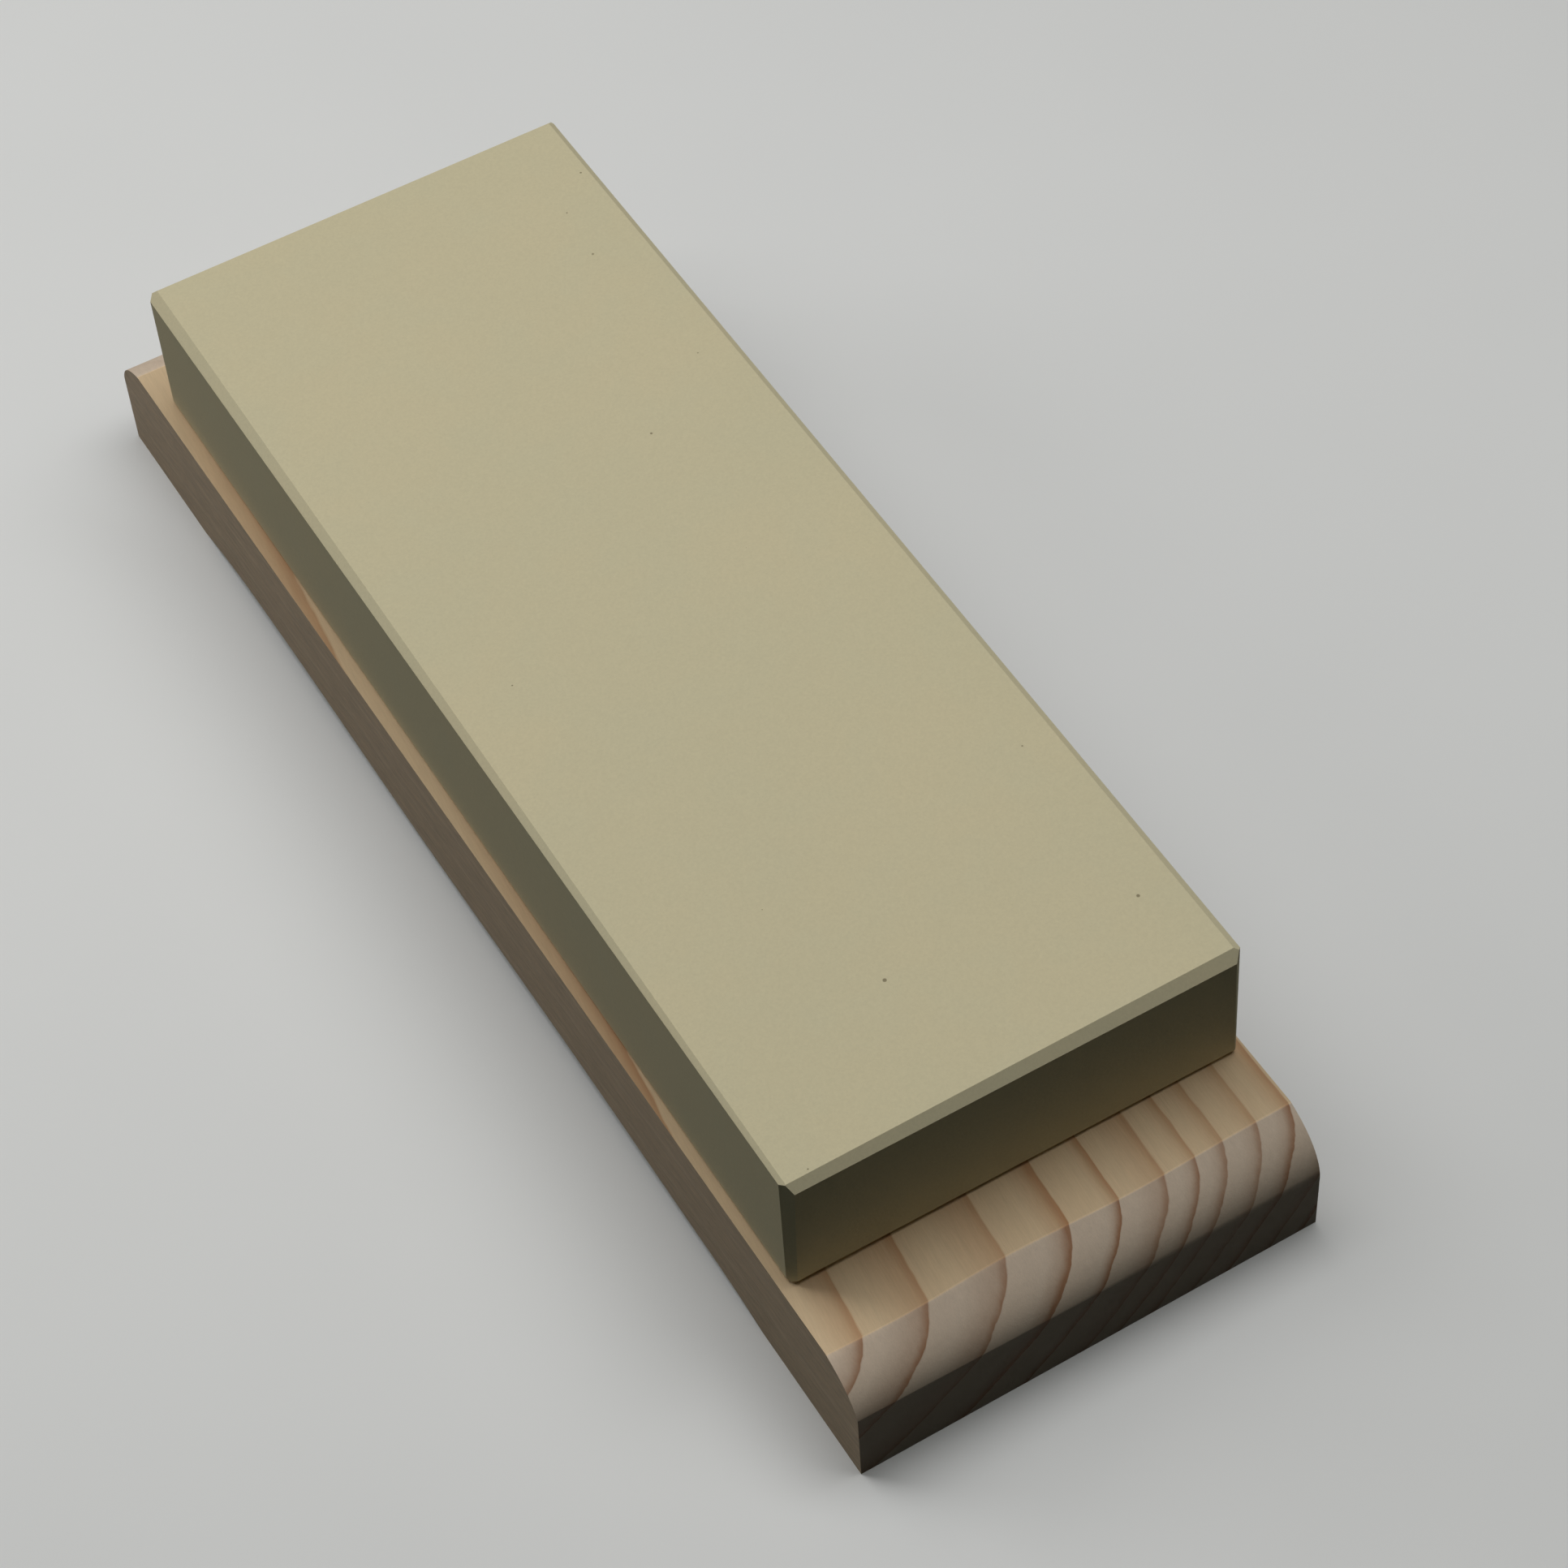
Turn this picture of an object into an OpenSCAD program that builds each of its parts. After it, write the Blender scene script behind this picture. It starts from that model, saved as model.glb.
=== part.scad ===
// Bench whetstone bonded to a wooden base with rounded ends.
// Origin: centre of the base's footprint, at the level of its feet.
// X across the width, Y along the length, Z up. Millimetres.

/* [Stone] */
// Length of the stone
stone_l = 205; // [195:1:212]
// Width of the stone
stone_w = 75; // [66:0.5:76]
// Thickness of the stone
stone_h = 25; // [15:0.5:40]
// Setback of the chamfers along the long top edges
side_cut = 1.3; // [0.8:0.1:2.2]
// Drop of the chamfers along the long top edges
side_drop = 1.1; // [0.8:0.1:2.2]
// Setback of the chamfers along the short top edges
end_cut = 1.4; // [0.8:0.1:2.2]
// Drop of the chamfers along the short top edges
end_drop = 1.4; // [0.8:0.1:2.2]
// Cut down each of the four upright corners
corner_cut = 1.6; // [0.8:0.1:3]
// Arris round the underside
arris = 0.8; // [0.3:0.1:1.2]

/* [Placing on the base] */
// Shift of the stone's centre across the base
stone_x = 0.55; // [-0.6:0.05:0.6]
// Shift of the stone's centre along the base
stone_y = 1.9; // [-3:0.1:3]
// Turn of the stone on the base, set down by hand, in degrees
stone_turn = -0.31; // [-0.35:0.01:0.35]

/* [Adhesive] */
// Thickness of the adhesive film
glue_h = 0.3; // [0.2:0.1:1]
// How far the film stops short of the stone's edges
glue_inset = 2.5; // [1:0.5:10]
// Corner radius of the spread film
glue_r = 6; // [3:1:12]

/* [Wooden base] */
// Length of the base
base_l = 240; // [238:1:260]
// Width of the base
base_w = 78; // [78:1:90]
// Thickness of the base
base_h = 21.3; // [18:0.1:28]
// Length that each rounded end takes off the top
crown_l = 8; // [6:0.5:9]
// Height that each rounded end takes off the end face
crown_h = 8.2; // [7:0.1:9]
// Radius of the rounded ends
crown_r = 15; // [14:0.5:30]

/* [Relief under the base] */
// Length of each foot that the base stands on
foot_l = 27; // [18:0.5:40]
// Radius of the slope from each foot up to the relief
slope_r = 90; // [60:5:120]
// Height of the relief between the feet
relief_h = 1.8; // [1:0.1:2.5]

/* [Hidden] */

// Length over which a cutting shape runs past what it cuts
over = 1;
// Smoothness of the round outlines
smooth = 180;

// The crown's arc, worked out from its chord
crown_chord = sqrt(crown_l * crown_l + crown_h * crown_h);
crown_start = atan2(crown_h, crown_l) - asin(crown_chord / (2 * crown_r));
crown_centre_y = base_l / 2 - crown_l - crown_r * sin(crown_start);
crown_centre_z = base_h - crown_r * cos(crown_start);

// Each slope's arc starts at the foot's edge and meets the relief at a slight angle
foot_edge = base_l / 2 - foot_l;
slope_centre_z = relief_h + 0.03 - slope_r;
slope_centre_y = foot_edge - sqrt(slope_r * slope_r - slope_centre_z * slope_centre_z);

// Puts the stone or the film where it sits on the base
module on_base(z) {
    translate([stone_x, stone_y, z]) rotate([0, 0, stone_turn]) children();
}

// Both ends of a shape that is drawn for the far end
module both_ends() {
    children();
    mirror([1, 0]) children();
}

// The stone from above: its four upright corners cut off
module stone_plan() {
    x = stone_w / 2;
    y = stone_l / 2;
    polygon([
        [-x + corner_cut, -y], [x - corner_cut, -y],
        [x, -y + corner_cut], [x, y - corner_cut],
        [x - corner_cut, y], [-x + corner_cut, y],
        [-x, y - corner_cut], [-x, -y + corner_cut]
    ]);
}

// A section through the stone: chamfers above, an arris below
module stone_section(w, cut, drop) {
    x = w / 2;
    polygon([
        [-x + arris, 0], [x - arris, 0],
        [x, arris], [x, stone_h - drop],
        [x - cut, stone_h], [-x + cut, stone_h],
        [-x, stone_h - drop], [-x, arris]
    ]);
}

// What the rounding takes off the far end of the base's side outline
module crown_waste() {
    difference() {
        translate([base_l / 2 - crown_l - over, base_h - crown_h - over])
            square([crown_l + 2 * over, crown_h + 2 * over]);
        translate([crown_centre_y, crown_centre_z]) circle(r = crown_r, $fn = smooth);
    }
}

// What the relief takes off under the far half of the base
module relief_waste() {
    intersection() {
        translate([-over, -over]) square([foot_edge + 2 * over, relief_h + over]);
        union() {
            translate([-over, -over]) square([slope_centre_y + over, relief_h + 2 * over]);
            translate([slope_centre_y, slope_centre_z]) circle(r = slope_r, $fn = smooth);
        }
    }
}

// The base's side outline
module base_outline() {
    difference() {
        translate([-base_l / 2, 0]) square([base_l, base_h]);
        both_ends() crown_waste();
        both_ends() relief_waste();
    }
}

module stone() {
    color("#b5ad8e")
    on_base(base_h + glue_h)
    intersection() {
        linear_extrude(height = stone_h) stone_plan();
        rotate([90, 0, 0])
            linear_extrude(height = stone_l + 2 * over, center = true)
            stone_section(stone_w, side_cut, side_drop);
        rotate([90, 0, 90])
            linear_extrude(height = stone_w + 2 * over, center = true)
            stone_section(stone_l, end_cut, end_drop);
    }
}

module glue_film() {
    film_w = stone_w - 2 * glue_inset;
    film_l = stone_l - 2 * glue_inset;
    color("#8d8467")
    on_base(base_h)
    linear_extrude(height = glue_h) {
        square([film_w - 2 * glue_r, film_l], center = true);
        square([film_w, film_l - 2 * glue_r], center = true);
        for (sx = [-1, 1], sy = [-1, 1])
            translate([sx * (film_w / 2 - glue_r), sy * (film_l / 2 - glue_r)])
            circle(r = glue_r, $fn = smooth);
    }
}

module wooden_base() {
    color("#d9b38f")
    rotate([90, 0, 90])
    linear_extrude(height = base_w, center = true)
    base_outline();
}

stone();
glue_film();
wooden_base();
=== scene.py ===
import math

import bmesh
import bpy
from mathutils import Matrix, Vector, noise


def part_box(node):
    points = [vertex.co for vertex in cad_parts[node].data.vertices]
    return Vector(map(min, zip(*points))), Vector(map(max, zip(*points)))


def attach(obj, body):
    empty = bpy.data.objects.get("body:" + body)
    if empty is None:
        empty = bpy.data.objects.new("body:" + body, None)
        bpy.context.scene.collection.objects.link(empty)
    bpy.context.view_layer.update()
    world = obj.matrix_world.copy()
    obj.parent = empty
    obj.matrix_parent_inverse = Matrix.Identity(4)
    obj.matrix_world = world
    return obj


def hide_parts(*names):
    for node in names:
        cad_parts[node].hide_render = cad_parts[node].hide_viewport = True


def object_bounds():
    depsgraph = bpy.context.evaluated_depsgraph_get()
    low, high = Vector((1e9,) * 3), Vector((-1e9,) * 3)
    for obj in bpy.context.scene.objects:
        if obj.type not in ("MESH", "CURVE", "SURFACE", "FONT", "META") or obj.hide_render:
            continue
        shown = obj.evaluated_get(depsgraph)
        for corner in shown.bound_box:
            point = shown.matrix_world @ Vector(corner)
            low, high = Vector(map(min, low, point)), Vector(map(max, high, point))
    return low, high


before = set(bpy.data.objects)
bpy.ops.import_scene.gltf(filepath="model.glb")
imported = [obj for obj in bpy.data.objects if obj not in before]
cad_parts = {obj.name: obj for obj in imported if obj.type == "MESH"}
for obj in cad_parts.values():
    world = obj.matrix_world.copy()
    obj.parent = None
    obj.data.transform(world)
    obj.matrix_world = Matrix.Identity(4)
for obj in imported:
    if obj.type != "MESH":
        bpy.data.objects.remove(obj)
cad_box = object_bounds()

MM = 0.001
BODY = "root"


# ---------------------------------------------------------------- shader maths

class Value:
    """A number that varies over a surface. Arithmetic on it adds Math nodes."""

    def __init__(self, finish, socket):
        self.finish = finish
        self.socket = socket

    def _math(self, operation, first, second):
        return self.finish.node("ShaderNodeMath", {"operation": operation}, {0: first, 1: second})

    def __add__(self, other):
        return self._math("ADD", self, other)

    def __sub__(self, other):
        return self._math("SUBTRACT", self, other)

    def __rsub__(self, other):
        return self._math("SUBTRACT", other, self)

    def __mul__(self, other):
        return self._math("MULTIPLY", self, other)

    def __truediv__(self, other):
        return self._math("DIVIDE", self, other)

    def __pow__(self, other):
        return self._math("POWER", self, other)

    def __abs__(self):
        return self._math("ABSOLUTE", self, 0.0)

    def rising(self, start, end):
        """0 below start, 1 above end, and a smooth rise between them."""
        settings = {"interpolation_type": "SMOOTHSTEP", "data_type": "FLOAT"}
        inputs = {"Value": self, "From Min": start, "From Max": end, "To Min": 0.0, "To Max": 1.0}
        return self.finish.node("ShaderNodeMapRange", settings, inputs)

    __radd__ = __add__
    __rmul__ = __mul__


class Nodes:
    """A node tree whose nodes are made by short calls."""

    def __init__(self, tree):
        self.tree = tree

    def node(self, kind, settings=None, inputs=None, out=0):
        """Adds a node: its settings first, then the values or links of its sockets."""
        made = self.tree.nodes.new(kind)
        for name, value in (settings or {}).items():
            if name == "stops":
                self._stops(made.color_ramp, value)
            else:
                setattr(made, name, value)
        for name, value in (inputs or {}).items():
            if isinstance(value, Value):
                self.tree.links.new(value.socket, made.inputs[name])
            else:
                made.inputs[name].default_value = value
        return Value(self, made.outputs[out])

    @staticmethod
    def _stops(ramp, stops):
        while len(ramp.elements) < len(stops):
            ramp.elements.new(1.0)
        for element, (position, colour) in zip(ramp.elements, stops):
            element.position = position
            element.color = (*colour, 1.0)

    def vector(self, operation, first, second=(0.0, 0.0, 0.0), scale=1.0):
        inputs = {0: first, 1: second}
        if operation == "SCALE":
            inputs = {0: first, "Scale": scale}
        return self.node("ShaderNodeVectorMath", {"operation": operation}, inputs)

    def parts(self, vector):
        made = self.tree.nodes.new("ShaderNodeSeparateXYZ")
        self.tree.links.new(vector.socket, made.inputs[0])
        return [Value(self, socket) for socket in made.outputs]

    def join(self, x, y, z):
        return self.node("ShaderNodeCombineXYZ", inputs={0: x, 1: y, 2: z})

    def noise(self, place, size, detail=2.0, roughness=0.5):
        """Smooth noise with features of about that size, from 0 to 1."""
        inputs = {"Vector": place, "Scale": 1 / size, "Detail": detail, "Roughness": roughness}
        return self.node("ShaderNodeTexNoise", {"noise_dimensions": "3D"}, inputs)

    def mix(self, share, first, second):
        """A colour between two colours."""
        settings = {"data_type": "RGBA", "clamp_factor": True}
        inputs = {"Factor": share, 6: first, 7: second}
        return self.node("ShaderNodeMix", settings, inputs, out=2)

    def shade(self, colour, amount):
        """A colour made lighter or darker by a factor."""
        grey = self.join(amount, amount, amount)
        settings = {"data_type": "RGBA", "blend_type": "MULTIPLY"}
        return self.node("ShaderNodeMix", settings, {"Factor": 1.0, 6: colour, 7: grey}, out=2)


class Finish(Nodes):
    """A material. Lengths in its patterns are millimetres."""

    def __init__(self, name, **constants):
        self.material = bpy.data.materials.new(name)
        self.material.use_nodes = True
        super().__init__(self.material.node_tree)
        self.shader = self.tree.nodes["Principled BSDF"]
        for socket, value in constants.items():
            self.shader.inputs[socket.replace("_", " ")].default_value = value
        place = self.node("ShaderNodeTexCoord", out="Object")
        self.place = self.vector("SCALE", place, scale=1 / MM)
        self.normal = self.node("ShaderNodeTexCoord", out="Normal")

    def use(self, socket, value):
        self.tree.links.new(value.socket, self.shader.inputs[socket])

    def bump(self, height, depth):
        """Relief whose height from 0 to 1 stands for a depth in millimetres."""
        inputs = {"Height": height, "Strength": 1.0, "Distance": depth * MM}
        self.use("Normal", self.node("ShaderNodeBump", inputs=inputs))


def opaque(red, green, blue):
    return (red, green, blue, 1.0)


# ---------------------------------------------------------------- finishes

# The stone's patterns: their sizes in mm, their tones and how strongly they show
CLOUD_SIZE, BLOTCH_SIZE, GRAIN_SIZE = 38.0, 9.0, 0.45
BLOTCH_SHIFT = (90.0, 40.0, 10.0)
CLOUD_TONES = opaque(0.582, 0.523, 0.345), opaque(0.596, 0.528, 0.345)
BLOTCH_TONE = opaque(0.565, 0.525, 0.355)
SPECK_TONE = opaque(0.16, 0.13, 0.07)
BLOTCH_STRENGTH, GRAIN_CONTRAST, SPECK_STRENGTH = 0.25, 0.16, 0.75
GRAIN_HEIGHT, SPECK_DEPTH, STONE_RELIEF = 0.5, 0.8, 0.03
# Specks: how far apart they lie, the smallest radius and how much larger the largest are,
# in mm. A cell whose random number is below the chance has no speck
SPECK_SPACING, SPECK_RADIUS, SPECK_SPREAD = 6.5, 0.10, 0.30
SPECK_CHANCE = (0.35, 0.4)


def stone_finish():
    finish = Finish("water_stone", Roughness=0.9, Specular_IOR_Level=0.25)
    place = finish.place
    cloud = finish.noise(place, CLOUD_SIZE, detail=3.0)
    blotch = finish.noise(finish.vector("ADD", place, BLOTCH_SHIFT), BLOTCH_SIZE, detail=3.0)
    grain = finish.noise(place, GRAIN_SIZE, detail=2.0, roughness=0.6)
    speck = stone_specks(finish)
    colour = finish.mix(cloud.rising(0.35, 0.65), *CLOUD_TONES)
    colour = finish.mix(blotch.rising(0.4, 0.7) * BLOTCH_STRENGTH, colour, BLOTCH_TONE)
    colour = finish.shade(colour, 1.0 + (grain - 0.5) * GRAIN_CONTRAST)
    colour = finish.mix(speck * SPECK_STRENGTH, colour, SPECK_TONE)
    finish.use("Base Color", colour)
    finish.use("Roughness", 0.86 + grain * 0.08)
    finish.bump(grain * GRAIN_HEIGHT - speck * SPECK_DEPTH, STONE_RELIEF)
    return finish.material


def stone_specks(finish):
    """Sparse dark specks of different sizes, scattered through the block."""
    cells = {"feature": "F1", "distance": "EUCLIDEAN", "voronoi_dimensions": "3D"}
    inputs = {"Vector": finish.place, "Scale": 1 / SPECK_SPACING, "Randomness": 1.0}
    distance = finish.node("ShaderNodeTexVoronoi", cells, inputs, out="Distance") * SPECK_SPACING
    pick = finish.node("ShaderNodeTexVoronoi", cells, inputs, out="Color")
    chance, size, _ = finish.parts(pick)
    radius = (size ** 3) * SPECK_SPREAD + SPECK_RADIUS
    inside = 1.0 - (distance / radius).rising(0.6, 1.0)
    return inside * chance.rising(*SPECK_CHANCE)


# The base's length, width and thickness, in mm
BASE_LENGTH, BASE_WIDTH, BASE_THICKNESS = 240.0, 78.0, 21.3

# Growth rings, from the pith outwards: outer radius, the length over which the
# latewood darkens before it, both in mm, and how dark the latewood gets
RINGS = [
    (66.3, 3.5, 0.9), (72.2, 4.0, 0.95), (78.9, 3.5, 0.9), (86.2, 5.5, 0.9),
    (95.8, 6.0, 0.85), (104.0, 3.4, 1.05), (110.9, 2.2, 1.1), (117.6, 4.5, 0.8),
    (122.1, 2.6, 0.9), (126.2, 2.6, 0.75), (131.6, 3.2, 0.7), (136.4, 2.8, 0.9),
    (142.0, 3.0, 0.7), (146.6, 1.2, 1.2),
]
RING_START, RING_END = 60.0, 150.0
LAST_RING = (RING_END, 3.0, 0.9)
LENGTH_SCALE, STRENGTH_SCALE = 12.0, 1.2
STOP_GAP = 0.0005
PITH_X, PITH_Z = -84.0, 81.3
# Below the top the rings lie a little further out, over the first few mm
RING_SHIFT, RING_SHIFT_DEPTH = 1.2, 5.0
# The dark line at a ring's edge: full within the first distance, gone past the second
RING_LINE = (0.1, 1.6)

# The grain runs out sideways, most at the left side and not at all at RUN_OUT_WIDTH from
# it, and it rises as it goes. Patterns are drawn out along it by the stretches
GRAIN_START_Y = -112.0
RUN_OUT, RUN_OUT_WIDTH = 0.12, 85.0
GRAIN_RISE = 0.077
FIBRE_STRETCH, FINE_STRETCH, BLOTCH_STRETCH = 0.04, 0.25, 0.15
WAVER_SIZE, WAVER = 7.0, 1.2
FINE_WAVER_SIZE, FINE_WAVER = 0.9, 0.3
STREAK_SIZE, THREAD_SIZE, WOOD_BLOTCH_SIZE = 0.8, 0.22, 1.6
STREAK_CONTRAST, SIDE_STREAK, SIDE_THREAD = 0.16, 0.54, 0.34
STREAK_HEIGHT, THREAD_HEIGHT, WOOD_RELIEF = 0.4, 0.6, 0.04

# Where the finish changes, as a face turns from level (0) to facing the end or the side (1)
TO_END_GRAIN, TO_SAWN, TO_SIDE = (0.10, 0.35), (0.97, 0.995), (0.5, 0.9)
# Between the crease pairs lies a painted highlight, a lighter line where the rubbed upper crease
# of each crown catches the light; its strength is the first value below
TO_CREASE, PAST_CREASE = (0.02, 0.10), (0.28, 0.36)
CREASE_HIGHLIGHT, SAWN_DARKENING = 0.15, 0.5

# How much the latewood and the ring's line darken the wood, on the top and on end grain
TOP_LATE, TOP_LINE = 0.58, 0.24
END_LATE, END_LINE, END_LATE_CURVE = 0.62, 0.45, 1.1
# The rings are pale at the far left corner: places along the base, and from its left side
FADE_ALONG, FADE_FROM_LEFT, FADE = (85.0, 110.0), (10.0, 24.0), 0.85

EARLY_TOP, EARLY_END = opaque(0.665, 0.498, 0.310), opaque(0.620, 0.500, 0.385)
LATE_TOP, LATE_END = opaque(0.42, 0.205, 0.088), opaque(0.33, 0.172, 0.092)
PLANED, PLANED_LINE = opaque(0.50, 0.385, 0.266), opaque(0.58, 0.465, 0.335)
PLANED_LINE_STRENGTH = 0.6


def ring_stops():
    """Two stops a ring. Red is the way left to its edge, green its darkening length and
    blue its strength, all scaled down to fit a colour."""
    stops, inner = [], RING_START
    for outer, darkening, strength in [*RINGS, LAST_RING]:
        start, end = ((r - RING_START) / (RING_END - RING_START) for r in (inner, outer))
        tone = (darkening / LENGTH_SCALE, strength / STRENGTH_SCALE)
        stops.append((start + STOP_GAP, ((outer - inner) / LENGTH_SCALE, *tone)))
        stops.append((end - STOP_GAP, (0.0, *tone)))
        inner = outer
    return stops


def growth_ring(finish, across, y, z, fibres):
    """The ring at a place, as the three values of ring_stops."""
    waver = finish.noise(fibres, WAVER_SIZE, detail=2.0)
    fine_place = finish.join(across, y * FINE_STRETCH, z)
    fine_waver = finish.noise(fine_place, FINE_WAVER_SIZE, detail=1.0)
    radius = ((across - PITH_X) ** 2.0 + (z - PITH_Z) ** 2.0) ** 0.5
    radius = radius + (waver - 0.5) * WAVER + (fine_waver - 0.5) * FINE_WAVER
    radius = radius + (BASE_THICKNESS - z).rising(0.0, RING_SHIFT_DEPTH) * RING_SHIFT
    share = (radius - RING_START) / (RING_END - RING_START)
    ring = finish.node("ShaderNodeValToRGB", {"stops": ring_stops()}, {"Fac": share})
    return finish.parts(ring)


def wood_finish():
    finish = Finish("softwood", Roughness=0.7, Specular_IOR_Level=0.3)
    x, y, z = finish.parts(finish.place)
    from_left = x + BASE_WIDTH / 2
    across = x - (y - GRAIN_START_Y) * RUN_OUT * (1.0 - from_left / RUN_OUT_WIDTH)
    fibres = finish.join(across, y * FIBRE_STRETCH, z + y * GRAIN_RISE)
    way_left, darkening, strength = growth_ring(finish, across, y, z, fibres)
    late = 1.0 - way_left / darkening
    late = finish.node("ShaderNodeClamp", inputs={"Value": late, "Min": 0.0, "Max": 1.0})
    ring_line = 1.0 - (way_left * LENGTH_SCALE).rising(*RING_LINE)

    to_side, to_end = (abs(turn) for turn in finish.parts(finish.normal)[:2])
    side = to_side.rising(*TO_SIDE)
    end_grain = to_end.rising(*TO_END_GRAIN)
    # Painted highlight: a lighter line along the upper crease of each crown
    crease_highlight = to_end.rising(*TO_CREASE) * (1.0 - to_end.rising(*PAST_CREASE))
    sawn = to_end.rising(*TO_SAWN)

    blotch_place = finish.join(across, y * BLOTCH_STRETCH, z)
    blotch = finish.noise(blotch_place, WOOD_BLOTCH_SIZE, detail=2.0)
    on_top = late * TOP_LATE + ring_line * TOP_LINE
    on_end = (late ** END_LATE_CURVE) * END_LATE + ring_line * END_LINE
    dark = (on_top + (on_end - on_top) * end_grain) * strength * (0.9 + blotch * 0.6)
    faded = y.rising(*FADE_ALONG) * (1.0 - from_left.rising(*FADE_FROM_LEFT))
    dark = dark * (1.0 - faded * FADE)
    early_tone = finish.mix(end_grain, EARLY_TOP, EARLY_END)
    late_tone = finish.mix(end_grain, LATE_TOP, LATE_END)
    colour = finish.mix(dark, early_tone, late_tone)
    planed = finish.mix(ring_line * PLANED_LINE_STRENGTH, PLANED, PLANED_LINE)
    colour = finish.mix(side, colour, planed)
    # Darker sawn end faces, and the painted highlight along the upper crease
    colour = finish.shade(colour, 1.0 - sawn * SAWN_DARKENING + crease_highlight * CREASE_HIGHLIGHT)

    streak = finish.noise(fibres, STREAK_SIZE, detail=3.0, roughness=0.6)
    thread = finish.noise(fibres, THREAD_SIZE, detail=2.0, roughness=0.6)
    streaking = (streak - 0.5) * (STREAK_CONTRAST + side * SIDE_STREAK)
    threading = (thread - 0.5) * (STREAK_CONTRAST + side * SIDE_THREAD)
    colour = finish.shade(colour, 1.0 + (streaking + threading))
    finish.use("Base Color", colour)
    finish.use("Roughness", 0.62 + streak * 0.16)
    finish.bump(thread * THREAD_HEIGHT + streak * STREAK_HEIGHT, WOOD_RELIEF)
    return finish.material


# The adhesive and the floor: pattern sizes and relief in mm, and tones
GLUE_CLOUD_SIZE, GLUE_RELIEF = 4.0, 0.05
GLUE_TONES = opaque(0.34, 0.30, 0.20), opaque(0.44, 0.40, 0.28)
HAZE_SIZE = 60.0
FLOOR_TONES = opaque(0.76, 0.76, 0.75), opaque(0.79, 0.79, 0.78)


def adhesive_finish():
    finish = Finish("adhesive", Roughness=0.45, Specular_IOR_Level=0.4)
    cloud = finish.noise(finish.place, GLUE_CLOUD_SIZE, detail=3.0)
    finish.use("Base Color", finish.mix(cloud.rising(0.3, 0.7), *GLUE_TONES))
    finish.bump(cloud, GLUE_RELIEF)
    return finish.material


def floor_finish():
    finish = Finish("studio_floor", Roughness=0.95, Specular_IOR_Level=0.1)
    haze = finish.noise(finish.place, HAZE_SIZE, detail=2.0)
    finish.use("Base Color", finish.mix(haze, *FLOOR_TONES))
    return finish.material


# ---------------------------------------------------------------- pieces

SHARP_EDGE = math.radians(35)


def piece(name, bm, material, node):
    """Makes a finished piece from a bmesh that stands in its place."""
    bmesh.ops.recalc_face_normals(bm, faces=bm.faces)
    for face in bm.faces:
        face.smooth = True
    for edge in bm.edges:
        edge.smooth = edge.calc_face_angle(0.0) < SHARP_EDGE
    mesh = bpy.data.meshes.new(name)
    bm.to_mesh(mesh)
    bm.free()
    made = bpy.data.objects.new(name, mesh)
    bpy.context.scene.collection.objects.link(made)
    made.data.materials.append(material)
    flat = made.modifiers.new("flat_faces", "WEIGHTED_NORMAL")
    flat.keep_sharp = True
    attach(made, BODY)
    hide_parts(node)
    return made


def grind(bm, first, second, third):
    """Cuts off what lies beyond the plane through three points, and closes the block."""
    normal = (second - first).cross(third - first).normalized()
    if normal.dot(first) < 0:
        normal = -normal
    every = bm.verts[:] + bm.edges[:] + bm.faces[:]
    cut = bmesh.ops.bisect_plane(
        bm, geom=every, dist=1e-7, plane_co=first, plane_no=normal, clear_outer=True)
    rim = [part for part in cut["geom_cut"] if isinstance(part, bmesh.types.BMEdge)]
    bmesh.ops.contextual_create(bm, geom=rim)


STONE_LENGTH, STONE_WIDTH = 205 * MM, 75 * MM
GRINDING_ALLOWANCE = 2 * MM
STONE_TURN = math.radians(-0.31)
# Chamfers, cut by hand: setback at the edge's two ends, then the drop, in mm
NEAR_CHAMFER = (0.56, 1.02, 0.87)
FAR_CHAMFER = (1.3, 1.4, 1.4)
LEFT_CHAMFER = (0.65, 1.60, 1.05)
RIGHT_CHAMFER = (1.15, 0.95, 0.72)
NEAR_UNDERSIDE_CHAMFER = (0.9, 0.7, 0.8)
UNDERSIDE_CHAMFER = (0.4, 0.4, 0.4)
# Cuts down the upright corners (x side, y side): how far they reach across the end and
# along the side, then how far the top stands out
CORNER_CUTS = {
    (-1, -1): (0.88, 1.52, 0.05), (1, -1): (0.8, 0.8, -0.25),
    (-1, 1): (1.5, 1.5, 0.0), (1, 1): (1.3, 1.3, 0.0),
}
# How far the near face stands out past its place: foot left, foot right, top left
NEAR_FACE = (0.03, -0.10, 0.74)
STONE_SOFTENING = 0.22 * MM


def chamfer(bm, along, side, level, setbacks):
    """Grinds one long edge. along is the edge's axis, side and level say which edge it is."""
    half = Vector((STONE_WIDTH / 2, STONE_LENGTH / 2, abs(level)))
    across = 1 - along
    start, end, drop = (value * MM for value in setbacks)

    def point(share, setback, fall):
        p = Vector((0.0, 0.0, level - math.copysign(fall, level)))
        p[along] = share * half[along]
        p[across] = side * (half[across] - setback)
        return p

    grind(bm, point(-1, start, 0.0), point(1, end, 0.0), point(0, 0.0, drop))


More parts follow.
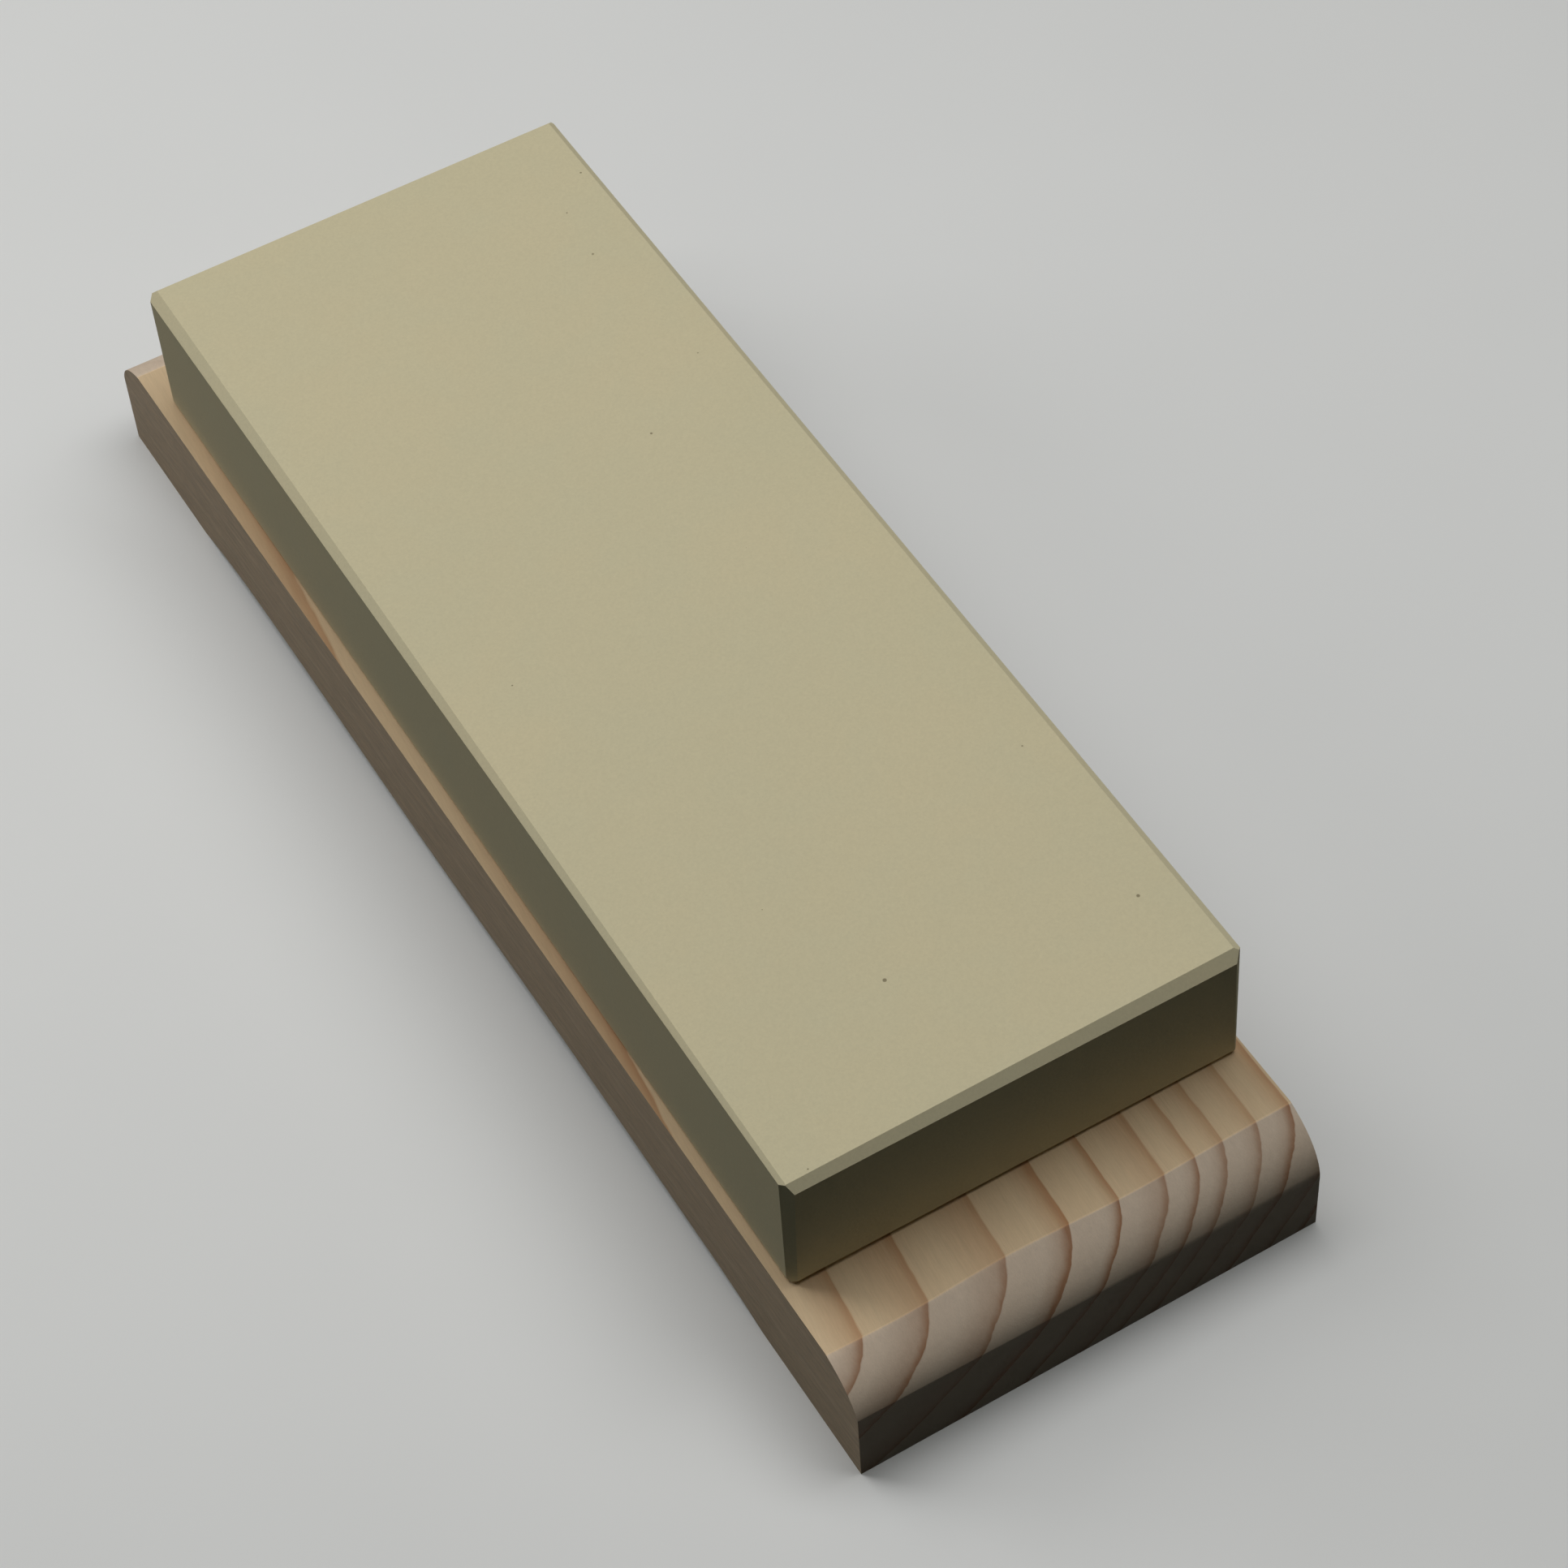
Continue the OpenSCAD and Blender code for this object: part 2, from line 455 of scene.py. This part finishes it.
def stone_block():
    """The stone, ground from a block that starts a little too long."""
    low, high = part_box("stone")
    half_height = (high.z - low.z) / 2
    bm = bmesh.new()
    bmesh.ops.create_cube(bm, size=1.0)
    sawn_size = (STONE_WIDTH, STONE_LENGTH + GRINDING_ALLOWANCE, high.z - low.z)
    bmesh.ops.scale(bm, vec=sawn_size, verts=bm.verts)
    near, left = -STONE_LENGTH / 2, -STONE_WIDTH / 2
    foot_left, foot_right, top_left = (near - out * MM for out in NEAR_FACE)
    grind(
        bm, Vector((left, foot_left, -half_height)), Vector((-left, foot_right, -half_height)),
        Vector((left, top_left, half_height)))
    grind(
        bm, Vector((left, -near, 0.0)), Vector((-left, -near, 0.0)),
        Vector((left, -near, half_height)))
    chamfer(bm, 0, -1, half_height, NEAR_CHAMFER)
    chamfer(bm, 0, 1, half_height, FAR_CHAMFER)
    chamfer(bm, 1, -1, half_height, LEFT_CHAMFER)
    chamfer(bm, 1, 1, half_height, RIGHT_CHAMFER)
    chamfer(bm, 0, -1, -half_height, NEAR_UNDERSIDE_CHAMFER)
    for along, side in ((0, 1), (1, -1), (1, 1)):
        chamfer(bm, along, side, -half_height, UNDERSIDE_CHAMFER)
    for (sx, sy), (across, along, lean) in CORNER_CUTS.items():
        corner = Vector((sx * STONE_WIDTH / 2, sy * STONE_LENGTH / 2, 0.0))
        beside = corner - Vector((sx * across * MM, 0.0, 0.0))
        behind = corner - Vector((0.0, sy * along * MM, 0.0))
        grind(bm, beside, behind, beside + Vector((0.0, sy * lean * MM, half_height)))
    bmesh.ops.bevel(
        bm, geom=bm.edges[:], offset=STONE_SOFTENING, segments=3, profile=0.5,
        affect="EDGES", clamp_overlap=True, material=-1)
    turned = Matrix.Rotation(STONE_TURN, 3, "Z")
    bmesh.ops.rotate(bm, cent=(0, 0, 0), matrix=turned, verts=bm.verts)
    bmesh.ops.translate(bm, vec=(low + high) / 2, verts=bm.verts)
    return piece("stone_block", bm, stone_finish(), "stone")


GLUE_CORNER = 6 * MM
GLUE_WANDER = 0.9 * MM
GLUE_WAVE = 9 * MM
GLUE_OUTLINE_STEP = 4 * MM


def glue_layer():
    """The adhesive, pressed out to an uneven outline."""
    low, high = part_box("glue_film")
    size = high - low
    bm = bmesh.new()
    bmesh.ops.create_grid(bm, x_segments=1, y_segments=1, size=0.5)
    spread = (size.x - 2 * GLUE_WANDER, size.y - 2 * GLUE_WANDER, 1.0)
    bmesh.ops.scale(bm, vec=spread, verts=bm.verts)
    bmesh.ops.bevel(
        bm, geom=bm.verts[:], offset=GLUE_CORNER, segments=8, profile=0.5,
        affect="VERTICES", clamp_overlap=True, material=-1)
    while too_long := [e for e in bm.edges if e.calc_length() > GLUE_OUTLINE_STEP]:
        bmesh.ops.subdivide_edges(bm, edges=too_long, cuts=1)
    for vertex in bm.verts:
        outwards = vertex.co.normalized()
        vertex.co += outwards * noise.noise(vertex.co / GLUE_WAVE) * GLUE_WANDER
    rise = Vector((0, 0, size.z))
    lifted = bmesh.ops.extrude_face_region(bm, geom=bm.faces[:])
    top = [part for part in lifted["geom"] if isinstance(part, bmesh.types.BMVert)]
    bmesh.ops.translate(bm, vec=rise, verts=top)
    centre = (low + high) / 2
    bmesh.ops.translate(bm, vec=(centre.x, centre.y, low.z), verts=bm.verts)
    return piece("glue_layer", bm, adhesive_finish(), "glue_film")


# The wooden base, in mm. Its rounded ends were cut by hand: where a value is a pair, it
# changes from the left edge to the right edge
CROWN_LENGTH = 8.0
CROWN_DROP = (6.9, 9.4)
# A crown's slope from its crease to its lower edge, and how late the turn comes
CROWN_FIRST_SLOPE = math.radians(20)
CROWN_LAST_SLOPE = (math.radians(79), math.radians(88))
CROWN_TURN = 1.35
CROWN_STEPS = 30
# The crease isn't quite straight: how far it wanders, and over what length
CREASE_WANDER, CREASE_WAVE = 0.6, 22.0
# The lower edge of a crown is torn up and down by about this much, at two finenesses
TEAR, TEAR_FINENESS = 0.12, (1.9, 0.7)
# Gives each end its own wander
ENDS_APART = 50.0
# A point this close to a crown belongs to it
CLOSE = 0.01
# The underside stands on a foot at each end. Between them is the relief: the radius of its
# run-in, its mean depth, and a slow wave along it
FOOT_LENGTH = 27.0
FOOT_EDGE = BASE_LENGTH / 2 - FOOT_LENGTH
SLOPE_RADIUS = 90.0
RELIEF = 1.9
RELIEF_WAVE = 0.4
RELIEF_WAVELENGTH = 95.0
RELIEF_CREST_Y = -35.0
RELIEF_STEPS = 24
# The base is swept from left to right in strips of this width
STRIP_WIDTH = 0.5


def between(pair, share):
    """The value that lies a share of the way along a pair."""
    return pair[0] + (pair[1] - pair[0]) * share


def line(bm, start, y, z):
    """Draws the side outline on from a point to a new one."""
    end = bm.verts.new((start.co.x, y, z))
    bm.edges.new((start, end))
    return end


def relief_height(y):
    """The underside's height at a place along the base, in mm."""
    into = FOOT_EDGE - abs(y)
    if into <= 0:
        return 0.0
    wave = RELIEF + RELIEF_WAVE * math.cos(math.tau * (y - RELIEF_CREST_Y) / RELIEF_WAVELENGTH)
    run = math.sqrt(2 * SLOPE_RADIUS * wave)
    if into >= run:
        return wave
    return wave - (run - into) ** 2 / (2 * SLOPE_RADIUS)


def base_side(bm, low, high):
    """Draws the side outline as one face in the plane of the left side. The crowns are
    still straight, at 45 degrees."""
    top, end = high.z, high.y
    crown_start = CROWN_LENGTH * MM - end
    start = bm.verts.new((low.x, crown_start, top))
    point = line(bm, start, -crown_start, top)
    for step in range(1, CROWN_STEPS + 1):
        down = CROWN_LENGTH * MM * step / CROWN_STEPS
        point = line(bm, point, down - crown_start, top - down)
    point = line(bm, point, end, low.z)
    for step in range(2 * RELIEF_STEPS + 1):
        y = FOOT_EDGE * (1 - step / RELIEF_STEPS)
        point = line(bm, point, y * MM, low.z + relief_height(y) * MM)
    point = line(bm, point, -end, low.z)
    for step in range(CROWN_STEPS, 0, -1):
        down = CROWN_LENGTH * MM * step / CROWN_STEPS
        point = line(bm, point, crown_start - down, top - down)
    bm.edges.new((point, start))
    bmesh.ops.contextual_create(bm, geom=bm.edges[:])


def crown_point(step, across, wander):
    """Where a step down a crown lies: mm back from the end face and mm below the top."""
    last_slope = between(CROWN_LAST_SLOPE, across)
    turns = [((i + 0.5) / CROWN_STEPS) ** CROWN_TURN for i in range(CROWN_STEPS)]
    slopes = [between((CROWN_FIRST_SLOPE, last_slope), turn) for turn in turns]
    forwards = [math.cos(slope) for slope in slopes]
    downwards = [math.sin(slope) for slope in slopes]
    gone = sum(forwards[:step]) / sum(forwards)
    fallen = sum(downwards[:step]) / sum(downwards)
    return (CROWN_LENGTH + wander) * (1 - gone), between(CROWN_DROP, across) * fallen


def round_the_ends(bm, low, high):
    """Moves every point of the two straight crowns on to the rounded ones."""
    for vertex in bm.verts:
        back = (high.y - abs(vertex.co.y)) / MM
        depth = (high.z - vertex.co.z) / MM
        if max(back, depth) > CROWN_LENGTH + CLOSE:
            continue
        step = round(depth / CROWN_LENGTH * CROWN_STEPS)
        across = (vertex.co.x - low.x) / (high.x - low.x)
        place = Vector((vertex.co.x / MM, math.copysign(ENDS_APART, vertex.co.y), 0.0))
        wander = noise.noise(place / CREASE_WAVE) * CREASE_WANDER
        back, depth = crown_point(step, across, wander)
        if step == CROWN_STEPS:
            depth += sum(noise.noise(place * fineness) for fineness in TEAR_FINENESS) * TEAR
        vertex.co.y = math.copysign(high.y - back * MM, vertex.co.y)
        vertex.co.z = high.z - depth * MM


def wooden_base():
    """The base: its side outline, swept across in narrow strips that the crowns then shape."""
    low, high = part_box("wooden_base")
    width = high.x - low.x
    bm = bmesh.new()
    base_side(bm, low, high)
    rim = bm.edges[:]
    strips = round(width / (STRIP_WIDTH * MM))
    for _ in range(strips):
        swept = bmesh.ops.extrude_edge_only(bm, edges=rim)
        moved = {part for part in swept["geom"] if isinstance(part, bmesh.types.BMVert)}
        bmesh.ops.translate(bm, vec=(width / strips, 0, 0), verts=list(moved))
        rim = [
            part for part in swept["geom"]
            if isinstance(part, bmesh.types.BMEdge) and all(v in moved for v in part.verts)]
    bmesh.ops.contextual_create(bm, geom=rim)
    round_the_ends(bm, low, high)
    return piece("wooden_base_block", bm, wood_finish(), "wooden_base")


# ---------------------------------------------------------------- studio

CAMERA_PLACE = Vector((-0.17406, -0.37350, 0.51586))
CAMERA_AIM = Vector((0.00705, -0.02351, 0.02305))
CAMERA_ROLL = math.radians(-4.365)
CAMERA_LENS = 94.82
FLOOR_REACH = 3.0
AIR_TINT = opaque(0.78, 1.00, 0.75)
AIR_STRENGTH = 0.027


def camera():
    data = bpy.data.cameras.new("camera")
    data.lens = CAMERA_LENS
    data.sensor_width = 36.0
    data.clip_start = 0.01
    data.clip_end = 20.0
    made = bpy.data.objects.new("camera", data)
    turned = (CAMERA_AIM - CAMERA_PLACE).to_track_quat("-Z", "Y").to_matrix().to_4x4()
    rolled = turned @ Matrix.Rotation(CAMERA_ROLL, 4, "Z")
    made.matrix_world = Matrix.Translation(CAMERA_PLACE) @ rolled
    bpy.context.scene.collection.objects.link(made)
    bpy.context.scene.camera = made


def soft_box(name, place, aim, along, size, power):
    """A rectangular light that points at aim, with its first side along a direction."""
    data = bpy.data.lights.new(name, "AREA")
    data.shape = "RECTANGLE"
    data.size, data.size_y = size
    data.energy = power
    back = (place - aim).normalized()
    side = (along - along.project(back)).normalized()
    made = bpy.data.objects.new(name, data)
    turned = Matrix((side, back.cross(side), back)).transposed().to_4x4()
    made.matrix_world = Matrix.Translation(place) @ turned
    bpy.context.scene.collection.objects.link(made)


def studio_air():
    """A faint light from all round, but only from above the floor."""
    world = bpy.data.worlds.new("studio_air")
    world.use_nodes = True
    nodes = Nodes(world.node_tree)
    _, _, height = nodes.parts(nodes.node("ShaderNodeTexCoord", out="Generated"))
    background = world.node_tree.nodes["Background"]
    background.inputs["Color"].default_value = AIR_TINT
    strength = height.rising(-0.05, 0.05) * AIR_STRENGTH
    nodes.tree.links.new(strength.socket, background.inputs["Strength"])
    return world


def studio():
    """A pale floor, two soft lights and the faint air."""
    scene = bpy.context.scene
    scene.view_settings.view_transform = "Standard"
    bm = bmesh.new()
    bmesh.ops.create_grid(bm, x_segments=1, y_segments=1, size=FLOOR_REACH)
    mesh = bpy.data.meshes.new("floor")
    bm.to_mesh(mesh)
    bm.free()
    floor = bpy.data.objects.new("floor", mesh)
    floor.location.z = cad_box[0].z
    floor.data.materials.append(floor_finish())
    floor.visible_diffuse = False
    scene.collection.objects.link(floor)
    scene.world = studio_air()
    soft_box(
        "overhead", place=Vector((0.037, 0.142, 0.878)), aim=Vector((0.0, 0.0, 0.0)),
        along=Vector((-0.68, 0.73, 0.0)), size=(1.44, 0.53), power=7.35)
    soft_box(
        "far_left", place=Vector((-0.566, 0.573, 0.382)), aim=Vector((0.0, 0.0, 0.0)),
        along=Vector((1.0, 1.0, 0.0)), size=(0.4, 0.4), power=1.2)


camera()
studio()
stone_block()
glue_layer()
wooden_base()
